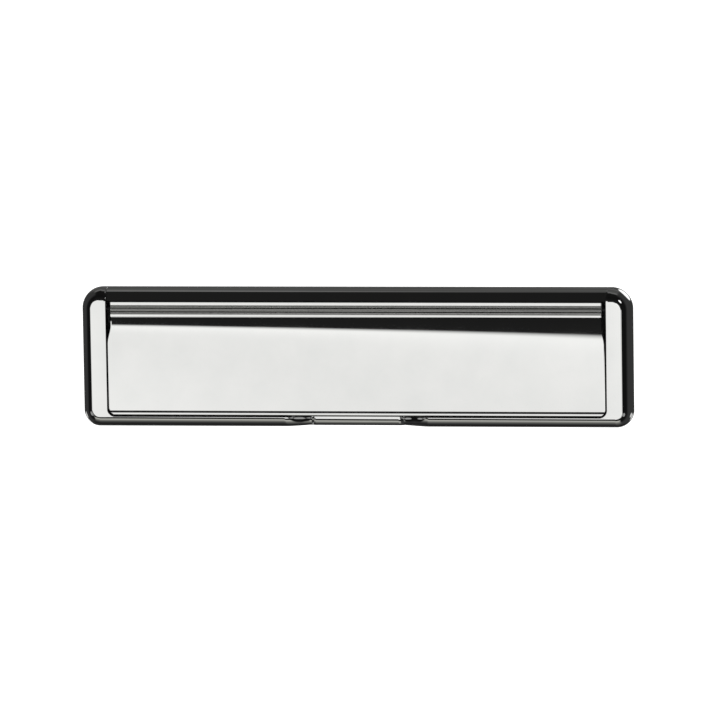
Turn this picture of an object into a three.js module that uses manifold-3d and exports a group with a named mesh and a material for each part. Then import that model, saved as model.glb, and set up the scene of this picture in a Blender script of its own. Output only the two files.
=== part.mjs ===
// Letter plate for a front door. The outer plate carries a sprung chrome flap. Two bolts through
// the door draw a smaller inner plate, with a flap of its own, up to the door's inner face, and a
// sleeve in two telescoping halves lines the slot between them.
// Millimetres. X runs along the plate, Z is up, and -Y is the street side.
// The origin is the centre of the outer plate on the door's outer face.

import * as THREE from "three";
import { mergeVertices } from "three/addons/utils/BufferGeometryUtils.js";
import Module from "manifold-3d";

const wasm = await Module();
wasm.setup();

// Common dimensions
const DOOR = 55; // door thickness as assembled
const GASKET = 1.2; // gasket thickness
const RIM = -1.5; // back of a frame
const FLOOR = -3.5; // front of the flange round the sleeve
const TUBE_WALL = 1.6;
const TUBE_END = 40; // how far each half of the sleeve reaches into the door
const BOLT_X = 137;
const GAP = 0.3; // between pieces that touch

// Each plate is described as it lies on its own door face, with -Y away from the door.
const OUTER = {
  halfW: 155, // overall 310
  halfH: 39.5, // overall 79
  cornerR: 10,
  front: -13,
  bevel: 6.2, // width of the rounded border
  bevelDepth: 7.5,
  bay: { x: 141, top: 32.7, bottom: -32.7 }, // where the flap lies
  railFront: -8.5, // the top rail is set back so that the flap can swing over it
  aperture: [132.5, 21.5],
  gasketHole: [134, 25],
  core: { x: [143.5, 151], z: [[-30, 21.5]], front: -10.5 }, // hollows in the end blocks
  flapX: 140,
  hinge: { y: -8.2, z: 27.7 },
  barrel: { radius: 4.3, bore: 3.1 },
  rodR: 1.6,
  bush: { radius: 2.7, bore: 1.95, end: 146 },
  knuckle: 104, // outer face of the knuckle that each spring hooks into
  wire: { radius: 0.4, coil: 2.35, turns: 9 },
  flapFace: -12.5,
  flapBottom: -32.1,
  flapT: 2,
  buffer: { x: 125, z: -28.7, radius: 3.2, height: 2 },
  tube: [132, 21],
  collar: [135, 23.4],
  mouth: -7.6,
  seal: 0.9,
};

const INNER = {
  halfW: 145,
  halfH: 29,
  cornerR: 6,
  front: -10.8,
  bevel: 3,
  bevelDepth: 3.5,
  bay: { x: 131.6, top: 25.8, bottom: -25.4 },
  railFront: -7,
  aperture: [130.6, 19.6],
  gasketHole: [133, 22.5],
  core: { x: [133.5, 142], z: [[-25, -7.5], [7.5, 17]], front: -8.5 },
  flapX: 130.8,
  hinge: { y: -7, z: 22 },
  barrel: { radius: 3.3, bore: 2.3 },
  rodR: 1.1,
  bush: { radius: 2.1, bore: 1.45, end: 136 },
  knuckle: 98,
  wire: { radius: 0.3, coil: 1.75, turns: 9 },
  flapFace: -10.3,
  flapBottom: -24.9,
  flapT: 1.7,
  buffer: { x: 118, z: -22.6, radius: 2.2, height: 1.4 },
  tube: [130, 19],
  collar: [131.2, 19.4], // wider than the aperture at its two ends only, clear of the barrel
  mouth: -4.7,
  seal: 0.6,
};

// Finger recess in the lower rail of the outer plate
const RECESS = { flat: 23, half: 35, z: -38.4, back: -7.5 };

// Fixings
const PILLAR = { radius: 4, end: 38, bore: 2.75, boreEnd: -1.7 };
const BOLT = { radius: 2.45, head: 4.5, headT: 2.05, tip: 44.5 };

// Brush draught seal inside the mouth of the inner sleeve
const BRUSH = { x: 127.4, y: [0, 4], carrier: [14.2, 17.1], pile: [0.4, 15.4] };

// Materials
const finish = (color, metalness, roughness) =>
  new THREE.MeshStandardMaterial({ color, metalness, roughness });
const chrome = finish(0xe4e6e8, 1, 0.05);
const steel = finish(0xb9bcbe, 1, 0.3);
const zinc = finish(0xc4c7c6, 1, 0.35);
const aluminium = finish(0xc9cbcd, 1, 0.4);
const blackPlastic = finish(0x1b1b1c, 0, 0.5);
const rubber = finish(0x161616, 0, 0.85);
const nylon = finish(0xe9e7df, 0, 0.5);
const bristle = finish(0x1c1c1c, 0, 0.95);

// Booleans
function solid(geometry) {
  const bare = geometry.clone();
  bare.deleteAttribute("normal");
  bare.deleteAttribute("uv");
  const merged = mergeVertices(bare, 1e-4);
  return new wasm.Manifold(
    new wasm.Mesh({
      numProp: 3,
      vertProperties: new Float32Array(merged.attributes.position.array),
      triVerts: new Uint32Array(merged.index.array),
    }),
  );
}

function geometryOf(body) {
  const mesh = body.getMesh();
  const count = mesh.numProp;
  const position = new Float32Array(mesh.numVert * 3);
  for (let i = 0; i < mesh.numVert; i += 1) {
    position.set(mesh.vertProperties.subarray(i * count, i * count + 3), i * 3);
  }
  const geometry = new THREE.BufferGeometry();
  geometry.setAttribute("position", new THREE.BufferAttribute(position, 3));
  geometry.setIndex(new THREE.BufferAttribute(mesh.triVerts, 1));
  geometry.computeVertexNormals();
  return geometry;
}

const add = (...bodies) => bodies.reduce((all, one) => all.add(one));
const cut = (from, ...tools) => tools.reduce((left, tool) => left.subtract(tool), from);

// Basic bodies
function block([x0, x1], [y0, y1], [z0, z1]) {
  const box = new THREE.BoxGeometry(x1 - x0, y1 - y0, z1 - z0);
  return solid(box.translate((x0 + x1) / 2, (y0 + y1) / 2, (z0 + z1) / 2));
}

function roundedRect(halfW, halfH, radius) {
  const shape = new THREE.Shape();
  shape.moveTo(-halfW + radius, -halfH);
  shape.lineTo(halfW - radius, -halfH);
  shape.absarc(halfW - radius, -halfH + radius, radius, -Math.PI / 2, 0);
  shape.lineTo(halfW, halfH - radius);
  shape.absarc(halfW - radius, halfH - radius, radius, 0, Math.PI / 2);
  shape.lineTo(-halfW + radius, halfH);
  shape.absarc(-halfW + radius, halfH - radius, radius, Math.PI / 2, Math.PI);
  shape.lineTo(-halfW, -halfH + radius);
  shape.absarc(-halfW + radius, -halfH + radius, radius, Math.PI, 1.5 * Math.PI);
  return shape;
}

// An outline in X and Z, given thickness from yFront back to yBack.
function slab(shape, yFront, yBack, curveSegments = 6) {
  const geometry = new THREE.ExtrudeGeometry(shape, {
    depth: yBack - yFront,
    bevelEnabled: false,
    curveSegments,
  });
  return solid(geometry.rotateX(Math.PI / 2).translate(0, yBack, 0));
}

// A section in Y and Z, drawn out along X.
function bar(points, x0, x1) {
  const shape = new THREE.Shape(points.map(([y, z]) => new THREE.Vector2(y, z)));
  const geometry = new THREE.ExtrudeGeometry(shape, { depth: x1 - x0, bevelEnabled: false });
  const turn = new THREE.Matrix4().makeBasis(
    new THREE.Vector3(0, 1, 0),
    new THREE.Vector3(0, 0, 1),
    new THREE.Vector3(1, 0, 0),
  );
  return solid(geometry.applyMatrix4(turn).translate(x0, 0, 0));
}

function roundX(radius, x0, x1, y, z, sides = 24) {
  const geometry = new THREE.CylinderGeometry(radius, radius, x1 - x0, sides);
  return solid(geometry.rotateZ(-Math.PI / 2).translate((x0 + x1) / 2, y, z));
}

function roundY(radius, y0, y1, x, z, sides = 24, radiusAtY0 = radius) {
  const geometry = new THREE.CylinderGeometry(radius, radiusAtY0, y1 - y0, sides);
  return solid(geometry.translate(x, (y0 + y1) / 2, z));
}

// Frame: a bordered plate with a bay for the flap, open through the middle for the sleeve.
function borderedPlate(spec) {
  const { halfW, halfH, cornerR, front, bevel, bevelDepth } = spec;
  const depth = 12;
  const geometry = new THREE.ExtrudeGeometry(roundedRect(halfW, halfH, cornerR), {
    depth,
    bevelThickness: bevelDepth,
    bevelSize: bevel,
    bevelOffset: -bevel,
    bevelSegments: 5,
    curveSegments: 6,
  });
  geometry.rotateX(Math.PI / 2).translate(0, depth + bevelDepth + front, 0);
  return cut(solid(geometry), block([-200, 200], [RIM, 60], [-60, 60]));
}

function fingerRecess() {
  const { flat, half, z, back } = RECESS;
  const top = OUTER.bay.bottom + 1;
  const shoulder = OUTER.bay.bottom - 0.4;
  const shape = new THREE.Shape();
  shape.moveTo(-half, top);
  shape.lineTo(-half, shoulder);
  shape.quadraticCurveTo(-flat - 6, z, -flat, z);
  shape.lineTo(flat, z);
  shape.quadraticCurveTo(flat + 6, z, half, shoulder);
  shape.lineTo(half, top);
  return slab(shape, OUTER.front - 1, back, 8);
}

const mirrored = (side, a, b) => (side > 0 ? [a, b] : [-b, -a]);

function frame(spec) {
  const { bay, front, hinge, bush, aperture, core } = spec;
  let body = cut(
    borderedPlate(spec),
    block([-bay.x, bay.x], [front - 1, FLOOR], [bay.bottom, bay.top]),
    block([-bay.x, bay.x], [front - 1, spec.railFront], [bay.top - 1, spec.halfH + 1]),
    block([-aperture[0], aperture[0]], [-20, 20], [-aperture[1], aperture[1]]),
  );
  for (const side of [-1, 1]) {
    const pocket = mirrored(side, bay.x - 1, bush.end + GAP);
    body = cut(body, roundX(bush.radius + GAP, ...pocket, hinge.y, hinge.z));
    for (const z of core.z) {
      body = cut(body, block(mirrored(side, ...core.x), [core.front, 0], z));
    }
    const { x, z, radius, height } = spec.buffer;
    const rest = spec.flapFace + spec.flapT + height + 2 * GAP;
    body = add(
      body,
      block(mirrored(side, x - 5, x + 5), [rest, FLOOR + 0.5], [z - radius + 0.6, z + radius - 0.6]),
    );
  }
  return body;
}

function outerFrame() {
  let body = cut(frame(OUTER), fingerRecess());
  for (const side of [-1, 1]) {
    const x = side * BOLT_X;
    body = add(body, roundY(PILLAR.radius, RIM - 1, PILLAR.end, x, 0));
    body = cut(body, roundY(PILLAR.bore, PILLAR.boreEnd, PILLAR.end + 1, x, 0));
  }
  return body;
}

function innerFrame() {
  let body = frame(INNER);
  for (const side of [-1, 1]) {
    const x = side * BOLT_X;
    const seat = roundY(PILLAR.bore, INNER.front - 0.01, -8.4, x, 0, 24, BOLT.head + GAP);
    body = cut(body, roundY(PILLAR.bore, -20, 20, x, 0), seat);
  }
  return body;
}

function gasket({ halfW, halfH, cornerR, gasketHole }) {
  const ring = slab(roundedRect(halfW - 0.6, halfH - 0.6, cornerR - 0.6), -GASKET, 0);
  const hole = slab(roundedRect(...gasketHole, 3), -GASKET - 1, 1, 4);
  const bolts = [-1, 1].map((side) => roundY(PILLAR.radius + GAP, -3, 3, side * BOLT_X, 0));
  return cut(ring, hole, ...bolts);
}

// Flap: a slightly bowed panel with a beaded lower edge, hung from a C-shaped barrel that is
// open at the back.
function flapSection({ hinge, barrel, flapFace, flapBottom, flapT }) {
  const points = [];
  const arc = (radius, from, to, steps) => {
    for (let i = 0; i <= steps; i += 1) {
      const angle = THREE.MathUtils.degToRad(from + ((to - from) * i) / steps);
      points.push([hinge.y + radius * Math.cos(angle), hinge.z + radius * Math.sin(angle)]);
    }
  };
  const cove = [[1.5, 6.1], [0.8, 9.5], [0.3, 13.5], [0.05, 19], [-0.1, 27]];
  const under = hinge.z - barrel.radius;
  arc(barrel.radius, 50, 226, 13);
  for (const [out, drop] of cove) {
    points.push([flapFace + out, hinge.z - drop]);
  }
  points.push([flapFace, flapBottom + 15], [flapFace + 0.3, flapBottom + 2.8]);
  points.push([flapFace + 0.8, flapBottom + 2.2], [flapFace + 0.3, flapBottom + 1.5]);
  points.push([flapFace + 0.2, flapBottom + 0.7], [flapFace + 0.7, flapBottom]);
  points.push([flapFace + flapT - 0.3, flapBottom], [flapFace + flapT, flapBottom + 0.5]);
  for (const [out, drop] of cove.toReversed()) {
    points.push([flapFace + out + flapT - 0.1, Math.min(hinge.z - drop, under - 1.6)]);
  }
  arc(barrel.radius, 280, 290, 2);
  arc(barrel.bore, 290, 50, 15);
  return points;
}

function flap(spec) {
  const { hinge, knuckle, flapX } = spec;
  const width = 5;
  const boss = (x0) => roundX(spec.barrel.bore + 0.5, x0, x0 + width, hinge.y, hinge.z);
  const body = add(
    bar(flapSection(spec), -flapX, flapX),
    boss(-knuckle),
    boss(-width / 2),
    boss(knuckle - width),
  );
  return cut(body, roundX(spec.rodR + GAP, -flapX - 1, flapX + 1, hinge.y, hinge.z, 16));
}

function buffer({ flapFace, flapT, buffer: { x, z, radius, height } }, side) {
  const front = flapFace + flapT + GAP;
  return roundY(radius, front, front + height, side * x, z, 20);
}

function hingeRod({ rodR, bush, hinge }) {
  return roundX(rodR, -bush.end + 0.4, bush.end - 0.4, hinge.y, hinge.z, 16);
}

function hingeBush({ bay, bush, hinge }, side) {
  return cut(
    roundX(bush.radius, ...mirrored(side, bay.x + GAP, bush.end), hinge.y, hinge.z),
    roundX(bush.bore, ...mirrored(side, bay.x - 1, bush.end + 1), hinge.y, hinge.z, 16),
  );
}

// Torsion spring round the rod, with a straight tang at each end.
class CoilWithTangs extends THREE.Curve {
  constructor(x0, x1, { hinge, wire }) {
    super();
    Object.assign(this, { x0, x1, hinge, wire });
  }

  getPoint(t) {
    const tang = 0.03;
    const u = THREE.MathUtils.clamp((t - tang) / (1 - 2 * tang), 0, 1);
    const angle = u * this.wire.turns * 2 * Math.PI;
    return new THREE.Vector3(
      THREE.MathUtils.lerp(this.x0, this.x1, t),
      this.hinge.y + this.wire.coil * Math.cos(angle),
      this.hinge.z + this.wire.coil * Math.sin(angle),
    );
  }

  // Steps are even along the coil's parameter, so that each turn gets the same number.
  getPointAt(t) {
    return this.getPoint(t);
  }

  getTangentAt(t) {
    return this.getTangent(t);
  }
}

function spring(spec, side) {
  const sides = 5;
  const corner = (i) => (i * 2 * Math.PI) / sides;
  const corners = Array.from({ length: sides }, (_, i) =>
    new THREE.Vector2(Math.cos(corner(i)), Math.sin(corner(i))).multiplyScalar(spec.wire.radius),
  );
  const path = new CoilWithTangs(side * (spec.knuckle + GAP), side * spec.bay.x, spec);
  return solid(
    new THREE.ExtrudeGeometry(new THREE.Shape(corners), { steps: 90, extrudePath: path }),
  );
}

// Half of the sleeve, with a collar that sits on the front of the frame's flange.
function sleeve({ tube, collar, mouth }) {
  const outside = slab(roundedRect(...tube, 3), mouth, TUBE_END, 4);
  const rim = slab(roundedRect(...collar, 3), FLOOR - GAP - 0.8, FLOOR - GAP, 4);
  const clear = tube.map((half) => half - TUBE_WALL);
  return cut(add(outside, rim), slab(roundedRect(...clear, 1.4), mouth - 1, TUBE_END + 1, 4));
}

// Rubber ring on the sleeve's mouth, which the closed flap covers.
function flapSeal({ tube, mouth, seal }) {
  const ring = slab(roundedRect(...tube, 3), mouth - GAP - seal, mouth - GAP, 4);
  const clear = tube.map((half) => half - TUBE_WALL);
  return cut(ring, slab(roundedRect(...clear, 1.4), mouth - 5, mouth + 1, 4));
}

function bolt(side) {
  const x = side * BOLT_X;
  const top = INNER.front + 0.2;
  return cut(
    add(
      roundY(BOLT.radius, top, top + BOLT.headT, x, 0, 24, BOLT.head),
      roundY(BOLT.radius, top + 1, BOLT.tip, x, 0),
    ),
    roundY(1.5, top - 1, top + 1.6, x, 0, 6),
  );
}

function brushCarrier(side) {
  const [low, high] = BRUSH.carrier;
  const [front, back] = BRUSH.y;
  return cut(
    block([-BRUSH.x, BRUSH.x], BRUSH.y, mirrored(side, low, high)),
    block(
      [-BRUSH.x - 1, BRUSH.x + 1],
      [front + 0.9, back - 0.9],
      mirrored(side, low - 1, low + 1.6),
    ),
  );
}

function brushPile(side) {
  const [front, back] = BRUSH.y;
  return block(
    [-BRUSH.x + 1, BRUSH.x - 1],
    [front + 1.2, back - 1.2],
    mirrored(side, ...BRUSH.pile),
  );
}

// Assembly
function piece(name, body, material) {
  const mesh = new THREE.Mesh(geometryOf(body), material);
  mesh.name = name;
  return mesh;
}

function plate(prefix, spec, frameBody) {
  const group = new THREE.Group();
  group.add(
    piece(`${prefix}_frame`, frameBody, chrome),
    piece(`${prefix}_gasket`, gasket(spec), rubber),
    piece(`${prefix}_sleeve`, sleeve(spec), blackPlastic),
    piece(`${prefix}_flap_seal`, flapSeal(spec), rubber),
    piece(`${prefix}_flap`, flap(spec), chrome),
    piece(`${prefix}_hinge_rod`, hingeRod(spec), steel),
  );
  for (const [hand, side] of [["left", -1], ["right", 1]]) {
    group.add(
      piece(`${prefix}_bush_${hand}`, hingeBush(spec, side), nylon),
      piece(`${prefix}_spring_${hand}`, spring(spec, side), steel),
      piece(`${prefix}_flap_buffer_${hand}`, buffer(spec, side), rubber),
    );
  }
  return group;
}

const outerPlate = plate("outer", OUTER, outerFrame());

const innerPlate = plate("inner", INNER, innerFrame());
innerPlate.add(
  piece("fixing_bolt_left", bolt(1), zinc),
  piece("fixing_bolt_right", bolt(-1), zinc),
  piece("brush_carrier_top", brushCarrier(1), aluminium),
  piece("brush_carrier_bottom", brushCarrier(-1), aluminium),
  piece("brush_pile_top", brushPile(1), bristle),
  piece("brush_pile_bottom", brushPile(-1), bristle),
);
innerPlate.rotation.z = Math.PI;
innerPlate.position.y = DOOR;

const letterPlate = new THREE.Group();
letterPlate.name = "letter_plate";
letterPlate.add(outerPlate, innerPlate);

export default letterPlate;
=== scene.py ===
"""Chrome letter plate with a sprung flap, seen from the street side."""
import math
import random
import bpy
import bmesh
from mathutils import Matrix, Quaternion, Vector


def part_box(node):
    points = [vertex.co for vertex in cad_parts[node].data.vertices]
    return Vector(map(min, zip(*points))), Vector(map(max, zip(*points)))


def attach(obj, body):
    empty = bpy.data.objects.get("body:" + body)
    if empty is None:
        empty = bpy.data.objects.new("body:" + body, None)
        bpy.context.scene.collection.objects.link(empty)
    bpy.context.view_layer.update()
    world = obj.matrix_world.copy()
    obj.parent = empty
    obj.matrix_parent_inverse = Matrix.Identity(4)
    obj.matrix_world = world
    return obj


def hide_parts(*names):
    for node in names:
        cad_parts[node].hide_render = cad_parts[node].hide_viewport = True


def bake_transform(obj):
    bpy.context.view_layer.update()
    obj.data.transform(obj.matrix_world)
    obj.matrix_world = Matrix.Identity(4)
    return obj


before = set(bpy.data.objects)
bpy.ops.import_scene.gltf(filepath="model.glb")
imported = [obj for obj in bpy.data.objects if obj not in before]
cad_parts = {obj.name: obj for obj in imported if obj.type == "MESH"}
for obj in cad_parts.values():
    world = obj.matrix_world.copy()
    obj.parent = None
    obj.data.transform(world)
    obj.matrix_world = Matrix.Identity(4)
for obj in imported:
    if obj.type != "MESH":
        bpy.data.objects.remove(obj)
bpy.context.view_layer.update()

MM = 0.001

# ---------------------------------------------------------------- dimensions (mm)
# Each plate has its own frame of reference: x along it, z up, and y from the face of the door,
# negative towards the viewer of that plate.
#   X, Z, R, R_low       half width, half height, corner radius at the top and at the bottom
#   front, rim, floor    y of the panel, of the border's edge, and of the bay's floor
#   bevel, bevel_back    border width at the sides, top and bottom, and y where its curve starts
#   panel_r, bay_r       corner radii of the panel (top, bottom) and of the bay
#   bay_x, bay_t, bay_b  the bay's half width and its distance above and below the middle
#   ap                   half sizes of the opening through the frame
#   rail                 y of the ledge along the top rail
#   hinge, barrel, rod   axis (y, z); outer and bore radius of the barrel; radius of the rod
#   bush                 radius, bore and outer end of a bush
#   flap_x, neck         half width of the flap, and how far it is cut back beside the barrel
#   corner               radius of the flap's lower corners
#   knuckle, wire        outer end of the barrel's bearing; wire and coil radius of a spring
#   face, bottom, t      y of the flap's face, z of its lower edge, and its thickness
#   tube, collar, mouth  half sizes of the sleeve and its collar, and y of its mouth
#   seal, buffer         height of the mouth's lip; a buffer's x, z, radius and height
#   gasket_hole          half sizes of the hole in the gasket
#   clear                radius of the hole for a bolt in the gasket
INNER_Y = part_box("inner_gasket")[0][1] / MM  # the door's inner face
OUT = dict(X=155.0, Z=39.5, R=12.0, R_low=9.5, front=-13.0, rim=-1.5, floor=-3.5,
           bevel=(6.3, 7.0, 6.55), bevel_back=-2.2, panel_r=(4.5, 3.8), bay_r=4.2,
           bay_x=140.5, bay_t=32.25, bay_b=32.7, ap=(132.5, 21.5),
           rail=-8.6, hinge=(-8.2, 27.7), barrel=(4.3, 3.1), rod=1.6,
           bush=(2.7, 1.95, 146.0), flap_x=139.8, neck=1.7, corner=4.0, knuckle=104.0,
           wire=(0.4, 2.35), face=-12.5, bottom=-32.1, t=2.0,
           tube=(132.0, 21.0), collar=(135.0, 23.4), mouth=-7.6, seal=0.9,
           buffer=(125.0, -28.7, 3.2, 2.0), gasket_hole=(134.0, 25.0), clear=4.3)
INN = dict(X=145.0, Z=29.0, R=6.0, R_low=6.0, front=-10.8, rim=-1.5, floor=-3.5,
           bevel=(3.0, 3.0, 3.0), bevel_back=-3.0, panel_r=(3.0, 3.0), bay_r=2.5,
           bay_x=131.6, bay_t=25.8, bay_b=25.4, ap=(130.6, 19.6),
           rail=-7.2, hinge=(-7.0, 22.0), barrel=(3.3, 2.3), rod=1.1,
           bush=(2.1, 1.45, 136.0), flap_x=130.9, neck=0.9, corner=2.2, knuckle=98.0,
           wire=(0.3, 1.75), face=-10.3, bottom=-24.9, t=1.7,
           tube=(130.0, 19.0), collar=(131.2, 19.4), mouth=-4.7, seal=0.6,
           buffer=(118.0, -22.6, 2.2, 1.4), gasket_hole=(133.0, 22.5), clear=3.6)
BOLT_X = 137.0
EDGE = 0.22  # small rounding where two faces meet
GAP = 0.3    # clearance between two pieces
SIDES = (("left", -1), ("right", 1))


# ---------------------------------------------------------------- mesh helpers
# a rounded edge in four steps, as shares of its radius: (across the face, back from it)
FILLET = ((1.0, 0.0), (0.5, 0.13), (0.13, 0.5), (0.0, 1.0))


def outer_place(x, y, z):
    """Millimetres at the outer plate to metres in the scene."""
    return Vector((x, y, z)) * MM


def inner_place(x, y, z):
    """The same for the inner plate, which faces the other way."""
    return Vector((-x, INNER_Y - y, z)) * MM


def finish_mesh(bm, name, material, body, nodes, sharp=32, weighted=True):
    """Clean the mesh and make it an object that rides a body and stands for CAD nodes.

    Edges that bend by more than sharp degrees stay hard.
    """
    bmesh.ops.remove_doubles(bm, verts=bm.verts, dist=2e-6)
    bmesh.ops.dissolve_degenerate(bm, dist=1e-6, edges=bm.edges)
    bmesh.ops.recalc_face_normals(bm, faces=bm.faces)
    mesh = bpy.data.meshes.new(name)
    bm.to_mesh(mesh)
    bm.free()
    mesh.shade_smooth()
    mesh.set_sharp_from_angle(angle=math.radians(sharp))
    obj = bpy.data.objects.new(name, mesh)
    bpy.context.scene.collection.objects.link(obj)
    mesh.materials.append(material)
    if weighted:
        mod = obj.modifiers.new("normals", "WEIGHTED_NORMAL")
        mod.keep_sharp = True
        mod.weight = 60
    if body:
        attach(obj, body)
    if nodes:
        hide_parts(*nodes)
    return obj


def grid(bm, rows, loop_rows=False):
    """Faces between rows of points. Each row is a loop, and with loop_rows so are the rows."""
    verts = [[bm.verts.new(p) for p in row] for row in rows]
    n, m = len(verts), len(verts[0])
    for i in range(n if loop_rows else n - 1):
        for j in range(m):
            a, b = verts[i][j], verts[(i + 1) % n][j]
            c, d = verts[(i + 1) % n][(j + 1) % m], verts[i][(j + 1) % m]
            bm.faces.new((a, b, c, d))
    return verts


def close_ends(bm, rows):
    """Flat faces over the first and the last row."""
    bm.faces.new(rows[0])
    bm.faces.new(rows[-1][::-1])


def prism(bm, section, xs, place, round_end=0.0, trim=None, painted_shade_faces=()):
    """A section in Y and Z along X, with a small rounded edge at both ends.

    trim(z) cuts the ends back, and the faces whose numbers are in painted_shade_faces get the second
    material, a dark one that paints shade on them.
    """
    n = len(section)
    normals = []
    for i in range(n):
        a, b = Vector(section[i - 1]), Vector(section[(i + 1) % n])
        t = (b - a).normalized()
        normals.append(Vector((t.y, -t.x)))
    area = sum(section[i - 1][0] * section[i][1] - section[i][0] * section[i - 1][1] for i in range(n))
    sign = 1 if area > 0 else -1
    rows = []
    if round_end:
        stops = [(xs[0] + back * round_end, inset * round_end) for inset, back in FILLET]
        stops += [(x, 0.0) for x in xs[1:-1]]
        stops += [(xs[-1] - back * round_end, inset * round_end) for inset, back in FILLET[::-1]]
    else:
        stops = [(x, 0.0) for x in xs]
    for x, inset in stops:
        row = []
        at_end = abs(x) > abs(xs[-1]) - 0.75  # the last rows, beyond the evenly spaced ones
        for i, (y, z) in enumerate(section):
            d = normals[i] * sign * inset
            shorter = math.copysign(trim(z), x) if trim and at_end else 0.0
            row.append(place(x - shorter, y - d.x, z - d.y))
        rows.append(row)
    verts = grid(bm, rows)
    bm.faces.ensure_lookup_table()
    # the listed faces get the dark second material: painted shade
    for i in range(len(rows) - 1):
        for j in painted_shade_faces:
            bm.faces[i * n + j].material_index = 1
    close_ends(bm, verts)


def lathe(bm, profile, axis, centre, place, seg=40, closed=False):
    """Turn a profile of (radius, distance along the axis) round the axis through centre."""
    rows = []
    for r, a in profile:
        row = []
        for k in range(seg):
            t = 2 * math.pi * k / seg
            u, v = r * math.cos(t), r * math.sin(t)
            if axis == "x":
                row.append(place(a, centre[0] + u, centre[1] + v))
            else:
                row.append(place(centre[0] + u, a, centre[1] + v))
        rows.append(row)
    verts = grid(bm, rows, loop_rows=closed)
    if not closed:
        close_ends(bm, verts)


def low_radius(ring):
    """Radius of a ring's lower corners.

    A ring is (half width, top, bottom, corner radius), and may end with another radius for the
    lower corners.
    """
    return ring[4] if len(ring) > 4 else ring[3]


def side_points(ring, bay_x, n_top=3, n_arc=22, n_side=9):
    """From the end of the top rail round the right-hand end to the bottom rail."""
    X, Zt, Zb, r = ring[:4]
    pts = []
    x0 = min(bay_x, X - r)
    for i in range(n_top):
        pts.append((x0 + (X - r - x0) * i / n_top, Zt))
    for i in range(n_arc + 1):
        a = math.pi / 2 * (1 - i / n_arc)
        pts.append((X - r + r * math.cos(a), Zt - r + r * math.sin(a)))
    q = low_radius(ring)
    x0 = min(bay_x, X - q)
    for i in range(1, n_side):
        pts.append((X, Zt - r + (-Zb + q - Zt + r) * i / n_side))
    for i in range(n_arc + 1):
        a = -math.pi / 2 * i / n_arc
        pts.append((X - q + q * math.cos(a), -Zb + q + q * math.sin(a)))
    for i in range(1, n_top + 1):
        pts.append((X - q + (x0 - X + q) * i / n_top, -Zb))
    return pts


def full_ring(X, Z, r, n_arc, n_top=12, n_side=6):
    """A whole rounded rectangle of half sizes X and Z and corner radius r."""
    pts = []
    corners = [(X - r, Z - r, 90), (X - r, -Z + r, 0), (-X + r, -Z + r, -90), (-X + r, Z - r, 180)]
    for c, (cx, cz, a0) in enumerate(corners):
        for i in range(n_arc + 1):
            a = math.radians(a0 - 90 * i / n_arc)
            pts.append((cx + r * math.cos(a), cz + r * math.sin(a)))
        nx, nz, na = corners[(c + 1) % 4]
        b = math.radians(na)
        ex, ez = nx + r * math.cos(b), nz + r * math.sin(b)
        sx, sz = pts[-1]
        n = n_side if c % 2 == 0 else n_top
        for i in range(1, n):
            pts.append((sx + (ex - sx) * i / n, sz + (ez - sz) * i / n))
    return pts


def band(bm, profile, place, n_arc):
    """A closed ring whose section is a list of (X, Z, r, y)."""
    rows = [[place(x, y, z) for x, z in full_ring(X, Z, r, n_arc)] for X, Z, r, y in profile]
    grid(bm, rows, loop_rows=True)


def bevel_curve(d, shrink, n=32, power=1.85):
    """Rounded border: (share of its width from the rim, y), from the rim to the face."""
    back, front = d["bevel_back"], d["front"] + shrink
    out = []
    for i in range(n + 1):
        u = math.pi / 2 * (1 - i / n)
        o = math.sin(u) ** (2 / power)
        h = math.cos(u) ** (2 / power)
        out.append((1 - o, back + (front - back) * h))
    return out


# ---------------------------------------------------------------- frames
RECESS_Y = -9.2      # face of the rail in the finger recess
RECESS_LOW = 38.5    # and its lower edge, below the middle
RECESS_END = 44.0    # where the recess has faded out
RECESS_ROWS = 66     # rows from there to the middle
SCOOP = 2.8          # depth of the scoop at each end of it
N_BAY = 3            # rings of the bay and the back, which frame_inside adds


def frame_profiles(d, shrink=0.0):
    """The border, panel, bay, flange and back of the frame as (ring, y) lists."""
    ws, wt, wb = d["bevel"]
    X, Z, R, Q = d["X"] - shrink, d["Z"] - shrink, d["R"] - shrink, d["R_low"] - shrink
    top_r, low_r = d["panel_r"]
    pts = [((X, Z, Z, R, Q), d["rim"])]
    for share, y in bevel_curve(d, shrink):
        radii = (R + (top_r - R) * share, Q + (low_r - Q) * share)
        pts.append(((X - ws * share, Z - wt * share, Z - wb * share, *radii), y))
    bx, bt, bb = d["bay_x"], d["bay_t"], d["bay_b"]
    f, e, q = d["front"] + shrink, EDGE, d["bay_r"]
    for out, back in FILLET:
        pts.append(((bx + out * e, bt + out * e, bb + out * e, 0.0, q + out * e), f + back * e))
    return pts + frame_inside(d)


def frame_inside(d):
    """The wall and floor of the bay, the opening and the back, in N_BAY rings."""
    ax, az = d["ap"]
    bx, bt, bb = d["bay_x"], d["bay_t"], d["bay_b"]
    return [((bx, bt, bb, 0.0, d["bay_r"]), d["floor"]), ((ax, az, az, 0.6), d["floor"]),
            ((ax, az, az, 0.6), d["rim"])]


def rail_profile(d):
    """The top rail: the border up to a ledge that is set back and leans away."""
    base = frame_profiles(d)
    n = len(base) - N_BAY - len(FILLET)
    bt = d["bay_t"]
    out = []
    lean = math.tan(math.radians(13))
    depth = d["bevel_back"] - d["rail"]
    for ring, y in base[:n]:
        if y >= d["rail"]:
            X, Zt, Zb, r = ring[:4]
            # the border leans in as it comes forward, by about a third of its depth
            t = max(0.0, (d["bevel_back"] - y) / depth)
            Zt = d["Z"] - 0.36 * depth * t ** 1.5
            out.append(((X, Zt, Zb, r), y))
    missing = n - len(out)
    y0 = out[-1][1]
    for i in range(1, missing + 1):
        z = Zt + (bt + 0.4 - Zt) * i / missing
        out.append(((X, z, Zb, r), y0 - (Zt - z) * lean))
    yl = y0 - (Zt - bt) * lean
    out += [((d["bay_x"], bt, d["bay_b"], 0.0), yl)] * len(FILLET)
    return out + frame_inside(d)


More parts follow.
